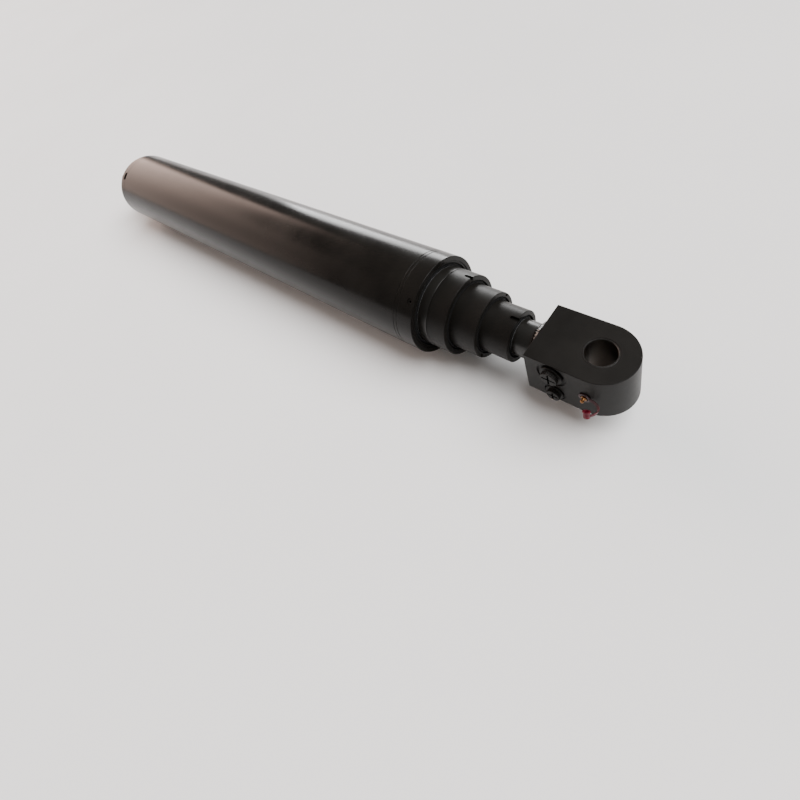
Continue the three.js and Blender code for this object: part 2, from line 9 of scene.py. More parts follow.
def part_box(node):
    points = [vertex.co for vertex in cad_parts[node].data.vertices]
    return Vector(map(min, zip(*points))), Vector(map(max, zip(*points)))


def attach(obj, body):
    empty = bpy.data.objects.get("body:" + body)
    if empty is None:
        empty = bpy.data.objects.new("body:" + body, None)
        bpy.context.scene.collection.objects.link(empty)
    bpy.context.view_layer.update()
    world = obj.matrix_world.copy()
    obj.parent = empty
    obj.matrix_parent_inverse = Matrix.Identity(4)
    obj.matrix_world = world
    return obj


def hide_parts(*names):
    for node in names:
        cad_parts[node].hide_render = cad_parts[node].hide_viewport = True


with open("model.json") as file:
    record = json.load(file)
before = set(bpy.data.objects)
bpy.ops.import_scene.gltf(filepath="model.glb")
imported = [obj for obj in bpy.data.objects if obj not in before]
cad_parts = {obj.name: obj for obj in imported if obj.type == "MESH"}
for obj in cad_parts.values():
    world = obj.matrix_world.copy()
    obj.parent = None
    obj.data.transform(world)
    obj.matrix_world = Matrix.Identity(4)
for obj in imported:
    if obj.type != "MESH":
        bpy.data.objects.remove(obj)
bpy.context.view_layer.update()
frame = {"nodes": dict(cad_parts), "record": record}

MM = 0.001
TURN = 2 * math.pi
FINE = 160          # sides of the large turned pieces
MEDIUM = 72         # sides of ports, plugs and bushes
SMALL = 40          # sides of nipples and caps
EDGE = 0.7 * MM     # usual broken edge


# ======== sizes, read from the CAD or given ===

def low(node):
    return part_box(node)[0]


def high(node):
    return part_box(node)[1]


BARREL_R = high("barrel_tube").z
LOCK_ANGLE = 48.5   # degrees up from the port side
LOCK_HOLE_R = 6.3 * MM
LOCK_SCREW_R = 5.7 * MM
LOCK_SCREW_SUNK = 1.5 * MM
RUNNING_GAP = 0.6 * MM      # between a sleeve and the bore it slides in
GROOVE_DEPTH = 1.1 * MM     # of the two grooves beside the collar's seam
SPOTFACE_DEPTH = 3 * MM
PIN_X = 0.5 * (low("eye_bush").x + high("eye_bush").x)
SIDE_Y = low("eye_block").y
REAR_SIDE_Y = low("rear_eye").y


# ======== mesh helpers ========

def new_object(name, verts, faces):
    mesh = bpy.data.meshes.new(name)
    mesh.from_pydata([tuple(v) for v in verts], [], faces)
    mesh.validate()
    work = bmesh.new()
    work.from_mesh(mesh)
    bmesh.ops.remove_doubles(work, verts=work.verts, dist=1e-7)
    bmesh.ops.recalc_face_normals(work, faces=work.faces)
    work.to_mesh(mesh)
    work.free()
    obj = bpy.data.objects.new(name, mesh)
    bpy.context.scene.collection.objects.link(obj)
    return obj


def apply_modifiers(obj):
    bpy.context.view_layer.update()
    graph = bpy.context.evaluated_depsgraph_get()
    mesh = bpy.data.meshes.new_from_object(obj.evaluated_get(graph))
    old = obj.data
    obj.modifiers.clear()
    obj.data = mesh
    bpy.data.meshes.remove(old)
    return obj


def cut(obj, *tools):
    for tool in tools:
        modifier = obj.modifiers.new("cut", "BOOLEAN")
        modifier.operation = "DIFFERENCE"
        modifier.solver = "EXACT"
        modifier.object = tool
        apply_modifiers(obj)
        bpy.data.objects.remove(tool)
    return obj


def join(obj, *others):
    for other in others:
        modifier = obj.modifiers.new("join", "BOOLEAN")
        modifier.operation = "UNION"
        modifier.solver = "EXACT"
        modifier.object = other
        apply_modifiers(obj)
        bpy.data.objects.remove(other)
    return obj


def break_edges(obj, width, segments=2, angle=35):
    modifier = obj.modifiers.new("bevel", "BEVEL")
    modifier.width = width
    modifier.segments = segments
    modifier.limit_method = "ANGLE"
    modifier.angle_limit = math.radians(angle)
    modifier.use_clamp_overlap = True
    return apply_modifiers(obj)


def smooth(obj, angle=32):
    """Smooth shading that leaves large flat faces flat up to their broken edges."""
    for face in obj.data.polygons:
        face.use_smooth = True
    obj.data.set_sharp_from_angle(angle=math.radians(angle))
    modifier = obj.modifiers.new("normals", "WEIGHTED_NORMAL")
    modifier.mode = "FACE_AREA"
    modifier.weight = 50
    modifier.keep_sharp = True
    return apply_modifiers(obj)


def rounded(points, radius, closed=True, steps=4):
    """Rounds the corners of a profile. Each point is (x, r) or (x, r, its own radius)."""
    out = []
    count = len(points)
    for i, point in enumerate(points):
        here = Vector(point[:2])
        own = point[2] if len(point) > 2 else radius
        if own <= 0 or (not closed and i in (0, count - 1)):
            out.append(here)
            continue
        before = Vector(points[i - 1][:2]) - here
        after = Vector(points[(i + 1) % count][:2]) - here
        if before.length < 1e-9 or after.length < 1e-9:
            out.append(here)
            continue
        half = before.angle(after) / 2
        if half > math.radians(88):
            out.append(here)
            continue
        reach = min(own / math.tan(half), 0.45 * before.length, 0.45 * after.length)
        start = here + before.normalized() * reach
        end = here + after.normalized() * reach
        for k in range(steps + 1):
            t = k / steps
            out.append((1 - t) ** 2 * start + 2 * t * (1 - t) * here + t ** 2 * end)
    return out


def turned(name, profile, sides=FINE, place=None, shape=None):
    """A piece turned about X from (x, r) points. Ends on the axis close it, else the profile does.
    shape(x, r, angle) may return another radius."""
    on_axis = profile[0][1] < 1e-9
    verts = []
    rings = []
    for x, r in profile:
        if r < 1e-9:
            rings.append([len(verts)] * sides)
            verts.append(Vector((x, 0, 0)))
            continue
        ring = []
        for k in range(sides):
            angle = TURN * k / sides
            radius = shape(x, r, angle) if shape else r
            ring.append(len(verts))
            verts.append(Vector((x, -radius * math.cos(angle), radius * math.sin(angle))))
        rings.append(ring)
    faces = []
    last = len(rings) - 1 if on_axis else len(rings)
    for i in range(last):
        a = rings[i]
        b = rings[(i + 1) % len(rings)]
        for k in range(sides):
            n = (k + 1) % sides
            face = [a[k], a[n], b[n], b[k]]
            face = [v for j, v in enumerate(face) if v != face[j - 1]]
            if len(face) > 2:
                faces.append(face)
    if place:
        verts = [place @ v for v in verts]
    return new_object(name, verts, faces)


def bar(start, end, radius, sides=SMALL):
    start = Vector(start)
    end = Vector(end)
    along = end - start
    turn = Vector((1, 0, 0)).rotation_difference(along).to_matrix().to_4x4()
    place = Matrix.Translation(start) @ turn
    length = along.length
    return turned("tool", [(0, 0), (0, radius), (length, radius), (length, 0)], sides, place)


def box_piece(name, size, centre, place=None):
    verts = []
    for sx in (-0.5, 0.5):
        for sy in (-0.5, 0.5):
            for sz in (-0.5, 0.5):
                v = Vector((centre[0] + sx * size[0], centre[1] + sy * size[1], centre[2] + sz * size[2]))
                verts.append(place @ v if place else v)
    faces = [(0, 1, 3, 2), (4, 6, 7, 5), (0, 4, 5, 1), (2, 3, 7, 6), (0, 2, 6, 4), (1, 5, 7, 3)]
    return new_object(name, verts, faces)


def round_point(x, radius, degrees):
    """A point round the cylinder: 0 degrees is the port side (-Y), 90 is up."""
    angle = math.radians(degrees)
    return Vector((x, -radius * math.cos(angle), radius * math.sin(angle)))


def at_lock(radius):
    """A point on the lock screw's line, this far from the axis."""
    lo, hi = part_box("lock_screw")
    return round_point(0.5 * (lo.x + hi.x), radius, LOCK_ANGLE)


def round_to(degrees):
    """Turns something drawn above the axis to this angle round the cylinder."""
    return Matrix.Rotation(math.radians(90 - degrees), 4, "X")


def out_of_side(x, y, z):
    """Places something drawn along +X so that it points out of the port side (-Y)."""
    return Matrix.Translation((x, y, z)) @ Matrix.Rotation(-math.pi / 2, 4, "Z")


def piece(obj, body, slot, material, *nodes, angle=32):
    smooth(obj, angle)
    obj.data.materials.clear()
    obj.data.materials.append(material)
    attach(obj, body)
    if nodes:
        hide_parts(*nodes)
    return obj


# ======== materials ========

class Nodes:
    """A Principled material with object-space textures."""

    def __init__(self, name, roughness, metallic=0.0):
        self.material = bpy.data.materials.new(name)
        self.material.use_nodes = True
        self.tree = self.material.node_tree
        self.shader = self.tree.nodes["Principled BSDF"]
        self.shader.inputs["Roughness"].default_value = roughness
        self.shader.inputs["Metallic"].default_value = metallic
        self.place = self.tree.nodes.new("ShaderNodeTexCoord").outputs["Object"]

    def link(self, out, into):
        self.tree.links.new(out, into)
        return out

    def stretched(self, scale):
        node = self.tree.nodes.new("ShaderNodeMapping")
        node.inputs["Scale"].default_value = scale
        self.link(self.place, node.inputs["Vector"])
        return node.outputs["Vector"]

    def noise(self, scale, detail=4.0, rough=0.55, stretch=(1, 1, 1)):
        node = self.tree.nodes.new("ShaderNodeTexNoise")
        node.inputs["Scale"].default_value = scale
        node.inputs["Detail"].default_value = detail
        node.inputs["Roughness"].default_value = rough
        self.link(self.stretched(stretch), node.inputs["Vector"])
        return node.outputs["Fac"]

    def spread(self, fac, low_value, high_value, start=0.3, end=0.7):
        node = self.tree.nodes.new("ShaderNodeMapRange")
        node.inputs["From Min"].default_value = start
        node.inputs["From Max"].default_value = end
        node.inputs["To Min"].default_value = low_value
        node.inputs["To Max"].default_value = high_value
        self.link(fac, node.inputs["Value"])
        return node.outputs["Result"]

    def blend(self, fac, a, b):
        node = self.tree.nodes.new("ShaderNodeMix")
        node.data_type = "RGBA"
        self.link(fac, node.inputs["Factor"])
        for value, socket in ((a, node.inputs[6]), (b, node.inputs[7])):
            if isinstance(value, tuple):
                socket.default_value = (*value, 1)
            else:
                self.link(value, socket)
        return node.outputs[2]

    def add(self, a, b, factor=1.0):
        node = self.tree.nodes.new("ShaderNodeMath")
        node.operation = "MULTIPLY_ADD"
        node.inputs[1].default_value = factor
        self.link(b, node.inputs[0])
        self.link(a, node.inputs[2])
        return node.outputs[0]

    def bump(self, height, strength, distance):
        node = self.tree.nodes.new("ShaderNodeBump")
        node.inputs["Strength"].default_value = strength
        node.inputs["Distance"].default_value = distance
        self.link(height, node.inputs["Height"])
        self.link(node.outputs["Normal"], self.shader.inputs["Normal"])

    def colour(self, out):
        self.link(out, self.shader.inputs["Base Color"])

    def rough(self, out):
        self.link(out, self.shader.inputs["Roughness"])


def paint(name, dark, light, rough_low, rough_high, specular, peel):
    m = Nodes(name, rough_low)
    m.shader.inputs["Specular IOR Level"].default_value = specular
    cloud = m.noise(9, 5)
    m.colour(m.blend(m.spread(cloud, 0, 1), dark, light))
    fine = m.noise(70, 4, 0.6)
    m.rough(m.spread(m.add(cloud, fine, 0.5), rough_low, rough_high, 0.45, 1.05))
    m.bump(m.add(m.noise(420, 3), m.noise(60, 2), 1.4), peel, 0.0006)
    return m.material


CHROME_DARK = (0.62, 0.63, 0.65)
CHROME_LIGHT = (0.7, 0.71, 0.72)
# Bush colours darkened to near black: painted shade of the deep pin bores laid over the bronze colour.
BORE_SHADED_BUSH_DARK = (0.014, 0.01, 0.007)
BORE_SHADED_BUSH_LIGHT = (0.038, 0.026, 0.016)
RED_DARK = (0.06, 0.003, 0.009)
RED_LIGHT = (0.12, 0.006, 0.016)
OVERSPRAY = (0.014, 0.009, 0.009)
PAINT_DARK = (0.0048, 0.0043, 0.0037)
PAINT_LIGHT = (0.008, 0.0072, 0.0062)
GLOSS_PAINT = paint("gloss_paint", PAINT_DARK, PAINT_LIGHT, 0.16, 0.27, 0.1, 0.03)
SATIN_PAINT = paint("satin_paint", PAINT_DARK, PAINT_LIGHT, 0.34, 0.44, 0.1, 0.1)
WELD_PAINT = paint("weld_paint", PAINT_DARK, PAINT_LIGHT, 0.12, 0.2, 0.3, 0.05)


def metal(name, dark, light, rough_low, rough_high, stretch=(1, 1, 1), scratch=0.05):
    m = Nodes(name, rough_low, 1.0)
    cloud = m.noise(14, 5)
    m.colour(m.blend(m.spread(cloud, 0, 1), dark, light))
    lines = m.noise(160, 5, 0.6, stretch)
    m.rough(m.spread(m.add(cloud, lines, 0.6), rough_low, rough_high, 0.5, 1.1))
    m.bump(lines, scratch, 0.0003)
    return m.material


CHROME = metal("chrome", CHROME_DARK, CHROME_LIGHT, 0.06, 0.16, (6, 1, 1), 0.03)
STEEL = metal("steel", (0.34, 0.34, 0.35), (0.46, 0.46, 0.46), 0.28, 0.45, (6, 1, 1), 0.1)
# Darkened bronze: painted shade of the pin bores laid over the bronze colour.
BORE_SHADED_BRONZE = metal("bronze", (0.045, 0.026, 0.012), (0.1, 0.06, 0.026), 0.34, 0.5, (1, 1, 0.1), 0.12)
BRASS = metal("brass", (0.12, 0.055, 0.02), (0.26, 0.125, 0.05), 0.22, 0.36)


def plastic(name, dark, light, rough_low, rough_high, grain=0.08, specular=0.5):
    m = Nodes(name, rough_low)
    m.shader.inputs["Specular IOR Level"].default_value = specular
    cloud = m.noise(120, 4)
    m.colour(m.blend(m.spread(cloud, 0, 1), dark, light))
    m.rough(m.spread(cloud, rough_low, rough_high))
    m.bump(m.noise(900, 3), grain, 0.0003)
    return m.material


RED_PLASTIC = plastic("red_plastic", RED_DARK, RED_LIGHT, 0.28, 0.42)


def oversprayed_red(name, painted_y, clean_y):
    """Red plastic with paint sprayed over it near the eye; clean beyond clean_y (m)."""
    m = Nodes(name, 0.36)
    m.shader.inputs["Specular IOR Level"].default_value = 0.35
    split = m.tree.nodes.new("ShaderNodeSeparateXYZ")
    m.link(m.place, split.inputs[0])
    drift = m.add(split.outputs["Y"], m.noise(160, 4, 0.6), 0.012)
    sprayed = m.spread(drift, 0.08, 0.85, clean_y + 0.006, painted_y + 0.006)
    cloud = m.noise(120, 4)
    red = m.blend(m.spread(cloud, 0, 1), RED_DARK, RED_LIGHT)
    m.colour(m.blend(sprayed, red, OVERSPRAY))
    m.rough(m.spread(cloud, 0.3, 0.46))
    m.bump(m.noise(900, 3), 0.08, 0.0003)
    return m.material


RUBBER = plastic("rubber", (0.003, 0.003, 0.003), (0.006, 0.006, 0.006), 0.6, 0.8, 0.15, 0.1)
URETHANE = plastic("urethane", (0.03, 0.06, 0.15), (0.05, 0.09, 0.2), 0.35, 0.5)
PHENOLIC = plastic("phenolic", (0.14, 0.075, 0.035), (0.22, 0.12, 0.06), 0.5, 0.7, 0.2)


def overpainted(name, axis, paint_from, bare_dark, bare_light, bare_low, bare_high):
    """Bare metal, painted over beyond paint_from (m) along one axis, on both sides of the middle for Z."""
    m = Nodes(name, bare_low, 1.0)
    m.shader.inputs["Specular IOR Level"].default_value = 0.35
    split = m.tree.nodes.new("ShaderNodeSeparateXYZ")
    m.link(m.place, split.inputs[0])
    along = split.outputs[axis]
    if axis == "Z":
        size = m.tree.nodes.new("ShaderNodeMath")
        size.operation = "ABSOLUTE"
        m.link(along, size.inputs[0])
        along = size.outputs[0]
    edge = m.add(along, m.noise(90, 3), 0.0006)
    painted = m.spread(edge, 0, 1, paint_from, paint_from + 0.0004)
    cloud = m.noise(14, 5)
    m.colour(m.blend(painted, m.blend(m.spread(cloud, 0, 1), bare_dark, bare_light), PAINT_LIGHT))
    mix = m.tree.nodes.new("ShaderNodeMix")
    m.link(painted, mix.inputs[0])
    m.link(m.spread(cloud, bare_low, bare_high), mix.inputs[2])
    mix.inputs[3].default_value = 0.3
    m.rough(mix.outputs[0])
    m.link(m.spread(painted, 1, 0, 0, 1), m.shader.inputs["Metallic"])
    return m.material


def painted_chrome(name, paint_from):
    return overpainted(name, "X", paint_from, CHROME_DARK, CHROME_LIGHT, 0.06, 0.16)


# ======== barrel ========

def build_barrel():
    rear = low("base_cap").x
    seam = low("barrel_tube").x
    front = high("barrel_tube").x
    cap_bottom = high("base_cap").x
    bore = BARREL_R - 9.6 * MM
    cap = turned("base_cap_shown", rounded([
        (rear, 0, 0),
        (rear, BARREL_R, 6 * MM),
        (seam - 0.3 * MM, BARREL_R, 0.4 * MM),
        (seam - 0.3 * MM, bore - 0.3 * MM, 0),
        (cap_bottom, bore - 0.3 * MM, EDGE),
        (cap_bottom, 0, 0),
    ], EDGE, closed=False, steps=6))
    slot = box_piece("tool", (11 * MM, 22 * MM, 10 * MM), (108 * MM, 0, BARREL_R), round_to(57))
    cut(cap, slot)
    piece(cap, "barrel", "gloss_paint", GLOSS_PAINT, "base_cap")

    tube = turned("barrel_tube_shown", rounded([
        (seam, bore, 0),
        (seam, BARREL_R, 0.4 * MM),
        (front - 4.6 * MM, BARREL_R, 0.3 * MM),
        (front - 3.7 * MM, BARREL_R - GROOVE_DEPTH, 0.2 * MM),
        (front - 2.8 * MM, BARREL_R, 0.3 * MM),
        (front + 0.2 * MM, BARREL_R, 0),
        (front + 0.2 * MM, bore, 0),
    ], EDGE))
    piece(tube, "barrel", "gloss_paint", GLOSS_PAINT, "barrel_tube")

    start = low("barrel_collar").x
    face = high("barrel_collar").x
    collar = turned("barrel_collar_shown", rounded([
        (start - 0.2 * MM, bore, 0),
        (start - 0.2 * MM, BARREL_R, 0),
        (start + 2.8 * MM, BARREL_R, 0.3 * MM),
        (start + 3.7 * MM, BARREL_R - GROOVE_DEPTH, 0.2 * MM),
        (start + 4.6 * MM, BARREL_R, 0.3 * MM),
        (face - 0.7 * MM, BARREL_R, 0.3 * MM),
        (face, BARREL_R - 0.7 * MM, 0.3 * MM),
        (face, bore, 0.6 * MM),
    ], EDGE))
    hole = bar(at_lock(bore - 3 * MM), at_lock(BARREL_R + MM), LOCK_HOLE_R)
    cut(collar, hole)
    piece(collar, "barrel", "gloss_paint", GLOSS_PAINT, "barrel_collar")

    screw = bar(at_lock(bore - 2.4 * MM), at_lock(BARREL_R - LOCK_SCREW_SUNK), LOCK_SCREW_R)
    socket = bar(at_lock(BARREL_R - 7 * MM), at_lock(BARREL_R), 3 * MM, 6)
    cut(screw, socket)
    screw.name = "lock_screw_shown"
    break_edges(screw, 0.5 * MM)
    piece(screw, "barrel", "steel", SATIN_PAINT, "lock_screw")


def head_bore(face, rear, sliding):
    """The bore of a head from its face to its rear end, with the wiper pocket and the seal groove."""
    pocket = 6 * MM
    pocket_length = 8 * MM
    bore = sliding + RUNNING_GAP
    front = face - 13 * MM
    back = front - 23.9 * MM
    return [
        (face, bore + pocket, 0.6 * MM),
        (face - pocket_length, bore + pocket, 0),
        (face - pocket_length, bore, 0.4 * MM),
        (front, bore, 0.3 * MM),
        (front, bore + 5 * MM, 0),
        (back, bore + 5 * MM, 0),
        (back, bore, 0.3 * MM),
        (rear, bore, 0.5 * MM),
    ]


def build_gland():
    face = high("barrel_gland").x
    rear = low("barrel_gland").x
    outer = high("barrel_gland").z
    sliding = high("stage_1_head").z
    groove = low("barrel_gland_oring").x - 0.3 * MM
    gland = turned("barrel_gland_shown", rounded([
        (rear, outer, EDGE),
        (groove, outer, 0.3 * MM),
        (groove, outer - 3.5 * MM, 0),
        (groove + 5 * MM, outer - 3.5 * MM, 0),
        (groove + 5 * MM, outer, 0.3 * MM),
        (face, outer, 0.6 * MM),
    ] + head_bore(face, rear, sliding), 0))
    hole = bar(at_lock(outer - 2.7 * MM), at_lock(BARREL_R), LOCK_HOLE_R)
    cut(gland, hole)
    piece(gland, "barrel", "satin_paint", SATIN_PAINT, "barrel_gland")


def build_wiper(node, body, sliding):
    rear = low(node).x
    front = high(node).x
    outer = high(node).z
    inner = sliding + 0.3 * MM
    wiper = turned(node + "_shown", rounded([
        (rear, inner, 0.3 * MM),
        (rear, outer, 0.3 * MM),
        (front - 2.5 * MM, outer, 0.6 * MM),
        (front - 2.2 * MM, inner + 3.2 * MM, 0.8 * MM),
        (front, inner + 1.4 * MM, 0.5 * MM),
        (front, inner, 0.4 * MM),
    ], 0))
    piece(wiper, body, "rubber", RUBBER, node)


# each head's hook-spanner notches: degrees round the cylinder, and length in mm
NOTCHES = {"stage_1": (114, 16), "stage_2": (-30, 13), "stage_3": (88, 16)}
SKIRT_R = {"stage_1": 72.2 * MM, "stage_2": 56.7 * MM, "stage_3": 42.2 * MM}


def build_sleeve(name, sliding):
    head = name + "_head"
    rear = low(head).x
    face = high(head).x
    outer = high(head).z
    tube_front = high(name + "_tube").x
    tube_rear = low(name + "_tube").x
    seam = tube_front + 0.3 * MM
    skirt = SKIRT_R[name]

    shown = turned(head + "_shown", rounded([
        (rear, skirt, 0.5 * MM),
        (seam, skirt, 0),
        (seam, outer - 1.6 * MM, 0),
        (seam + 0.9 * MM, outer - 1.6 * MM, 0.3 * MM),
        (seam + 1.1 * MM, outer, 0.4 * MM),
        (face - 0.7 * MM, outer, 0.3 * MM),
        (face, outer - 0.7 * MM, 0.3 * MM),
    ] + head_bore(face, rear, sliding), 0))
    degrees, length = NOTCHES[name]
    for turn in (0, 180):
        angle = degrees + turn
        end_x = face - length * MM + 4 * MM
        slot_length = face + 2 * MM - end_x
        slot = box_piece("tool", (slot_length, 8 * MM, 12 * MM), (end_x + slot_length / 2, 0, outer),
                         round_to(angle))
        inner_end = round_point(end_x, outer - 6 * MM, angle)
        outer_end = round_point(end_x, outer + 6 * MM, angle)
        cut(shown, slot, bar(inner_end, outer_end, 4 * MM))
    piece(shown, name, "satin_paint", SATIN_PAINT, head)

    spigot = outer - 3.5 * MM
    piston_front = high(name + "_piston").x
    tube = turned(name + "_tube_shown", rounded([
        (tube_rear, skirt + 0.3 * MM, 0),
        (tube_rear, spigot, 0),
        (piston_front + 0.3 * MM, spigot, 0),
        (piston_front + 0.3 * MM, outer, 0.8 * MM),
        (tube_front - 0.6 * MM, outer, 0.3 * MM),
        (tube_front, outer - 0.6 * MM, 0.3 * MM),
        (tube_front, skirt + 0.3 * MM, 0),
    ], 0))
    for k in range(4):
        angle = 45 + 90 * k
        x = piston_front + 17 * MM
        cut(tube, bar(round_point(x, outer * 0.5, angle), round_point(x, outer + MM, angle), 5 * MM, 24))
    finish = CHROME
    if name == "stage_1":
        finish = painted_chrome("stage_1_chrome", high("barrel_gland").x + 0.5 * MM)
    piece(tube, name, "chrome", finish, name + "_tube")
    build_wiper(name + "_wiper", name, sliding)


build_barrel()
build_gland()
STAGES = ["stage_1", "stage_2", "stage_3"]
build_wiper("barrel_wiper", "barrel", high("stage_1_head").z)
PLUNGER_R = high("plunger_tube").z
for stage_name, inside_name in zip(STAGES, STAGES[1:] + ["plunger"]):
    inside_r = PLUNGER_R if inside_name == "plunger" else high(inside_name + "_head").z
    build_sleeve(stage_name, inside_r)


# ======== plunger ========

def build_plunger():
    rear = low("plunger_tube").x
    front = high("plunger_tube").x
    piston_front = high("plunger_piston").x
    spigot = PLUNGER_R - 3.5 * MM
    bore = PLUNGER_R - 8 * MM
    tube = turned("plunger_tube_shown", [
        (rear, bore),
        (rear, spigot),
        (piston_front + 0.3 * MM, spigot),
        (piston_front + 0.3 * MM, PLUNGER_R),
        (front, PLUNGER_R),
        (front, bore),
    ])
    for k in range(4):
        angle = 45 + 90 * k
        x = piston_front + 17 * MM
        inner_end = round_point(x, PLUNGER_R * 0.5, angle)
        outer_end = round_point(x, PLUNGER_R + MM, angle)
        cut(tube, bar(inner_end, outer_end, 4 * MM, 24))
    neck = high("stage_3_head").x - 0.5 * MM
    piece(tube, "plunger", "chrome", painted_chrome("plunger_chrome", neck), "plunger_tube")


def weld_bead(name, path, normal_out, leg, ripple_length, body, wobble=0.12):
    """A fillet weld along a closed path. normal_out(i) gives the two directions of its legs."""
    rings = []
    verts = []
    count = len(path)
    travelled = 0.0
    section = 7
    for i in range(count):
        here = path[i]
        travelled += (path[i] - path[i - 1]).length
        side, along = normal_out(i)
        ripple = 0.5 + 0.5 * math.cos(TURN * travelled / ripple_length)
        wander = math.sin(i * 0.083) * 0.6 + math.sin(i * 0.031 + 1.3) * 0.4
        size = leg * (1 + wobble * 0.5 * wander)
        ring = []
        for k in range(section):
            t = k / (section - 1)
            bulge = math.sin(math.pi * t)
            base = along * (size * (1 - t)) + side * (size * t)
            lift = (side + along).normalized() * size * bulge * (0.15 + 0.07 * ripple)
            ring.append(len(verts))
            verts.append(here + base + lift)
        ring.append(len(verts))
        verts.append(here - (side + along).normalized() * 0.3 * MM)
        rings.append(ring)
    faces = []
    for i in range(count):
        a = rings[i]
        b = rings[(i + 1) % count]
        for k in range(len(a)):
            n = (k + 1) % len(a)
            faces.append((a[k], a[n], b[n], b[k]))
    bead = new_object(name, verts, faces)
    return piece(bead, body, "satin_paint", WELD_PAINT, angle=60)


def build_plunger_weld():
    x = low("eye_block").x - 0.1 * MM
    steps = 400
    angles = [TURN * i / steps for i in range(steps)]
    path = [Vector((x, -PLUNGER_R * math.cos(a), PLUNGER_R * math.sin(a))) for a in angles]

    def legs(i):
        a = angles[i]
        return Vector((0, -math.cos(a), math.sin(a))), Vector((-1, 0, 0))

    weld_bead("plunger_weld", path, legs, 12 * MM, 4.5 * MM, "plunger", 0.3)


build_plunger()
build_plunger_weld()


# ======== eyes ========

def eye(name, pin_x, flat_x, half_width, half_height):
    """An eye with one round end centred on pin_x and a flat end at flat_x."""
    away = 1 if pin_x > flat_x else -1
    outline = [(flat_x, -away * half_width), (pin_x, -away * half_width)]
    steps = 72
    for k in range(1, steps):
        a = -math.pi / 2 + math.pi * k / steps
        outline.append((pin_x + away * half_width * math.cos(a), away * half_width * math.sin(a)))
    outline += [(pin_x, away * half_width), (flat_x, away * half_width)]
    verts = [Vector((x, y, -half_height)) for x, y in outline]
    verts += [Vector((x, y, half_height)) for x, y in outline]
    n = len(outline)
    faces = [tuple(range(n)), tuple(range(2 * n - 1, n - 1, -1))]
    faces += [(i, (i + 1) % n, n + (i + 1) % n, n + i) for i in range(n)]
    return new_object(name, verts, faces)


def bush(node, body, paint_reach):
    lo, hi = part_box(node)
    x = 0.5 * (lo.x + hi.x)
    outer = 0.5 * (hi.x - lo.x)
    inner = outer - 2.3 * MM
    end = hi.z
    place = Matrix.Translation((x, 0, 0)) @ Matrix.Rotation(-math.pi / 2, 4, "Y")
    shown = turned(node + "_shown", rounded([
        (-end, inner + 0.9 * MM, 0.2 * MM),
        (-end, outer, 0.2 * MM),
        (end, outer, 0.2 * MM),
        (end, inner + 0.9 * MM, 0.2 * MM),
        (end - 0.9 * MM, inner, 0.2 * MM),
        (0.9 * MM - end, inner, 0.2 * MM),
    ], 0), MEDIUM * 2, place)
    cut(shown, bar((x, -inner + 2 * MM, 0), (x, -outer - MM, 0), 2 * MM, 24))
    # The bush's bare part carries the near-black painted shade of its bore; its ends are painted over.
    finish = overpainted(node + "_shaded_bore_metal", "Z", end - paint_reach, BORE_SHADED_BUSH_DARK, BORE_SHADED_BUSH_LIGHT, 0.34, 0.5)
    return piece(shown, body, "bronze", finish, node)


def build_rear_eye():
    lo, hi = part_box("rear_eye")
    half_width = hi.y
    body = eye("rear_eye_shown", 0, hi.x, half_width, hi.z)
    bush_r = high("rear_bush").y
    cut(body, bar((0, 0, lo.z - MM), (0, 0, hi.z + MM), bush_r + 0.3 * MM, MEDIUM * 2))
    break_edges(body, 1.0 * MM, 3)
    cut(body, bar((0, lo.y - MM, 0), (0, lo.y + 10 * MM, 0), 4.5 * MM),
        bar((0, lo.y, 0), (0, -bush_r + MM, 0), 2 * MM, 24))
    piece(body, "barrel", "satin_paint", SATIN_PAINT, "rear_eye")
    bush("rear_bush", "barrel", 0.2 * MM)

    # fillet weld round the foot of the lug
    x = low("base_cap").x
    r = 3 * MM
    corners = [(-half_width, -hi.z), (half_width, -hi.z), (half_width, hi.z), (-half_width, hi.z)]
    path = []
    sides = []
    for c in range(4):
        ay, az = corners[c]
        by, bz = corners[(c + 1) % 4]
        out = Vector((0, (bz - az), -(by - ay))).normalized()
        steps = 90
        for k in range(steps):
            t = k / steps
            path.append(Vector((x, ay + (by - ay) * t, az + (bz - az) * t)))
            sides.append(out)
    weld_bead("rear_eye_weld", path, lambda i: (sides[i], Vector((-1, 0, 0))), r, 4.5 * MM, "barrel")


# radii in mm, then the width of the cross recess in mm and the number of ribs round the boss
PORTS = {
    "port_large": {
        "spotface": 25.6, "thread": 16.5, "drill": 10, "flange": 20, "boss": 15,
        "boss_length": 8, "cross": 3.2, "ribs": 30,
    },
    "port_small": {
        "spotface": 18.5, "thread": 13.5, "drill": 6.5, "flange": 16, "boss": 12,
        "boss_length": 7, "cross": 3.0, "ribs": 24,
    },
}


def port_centre(name):
    lo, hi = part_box(name + "_seal")
    return 0.5 * (lo.x + hi.x), 0.5 * (lo.z + hi.z)


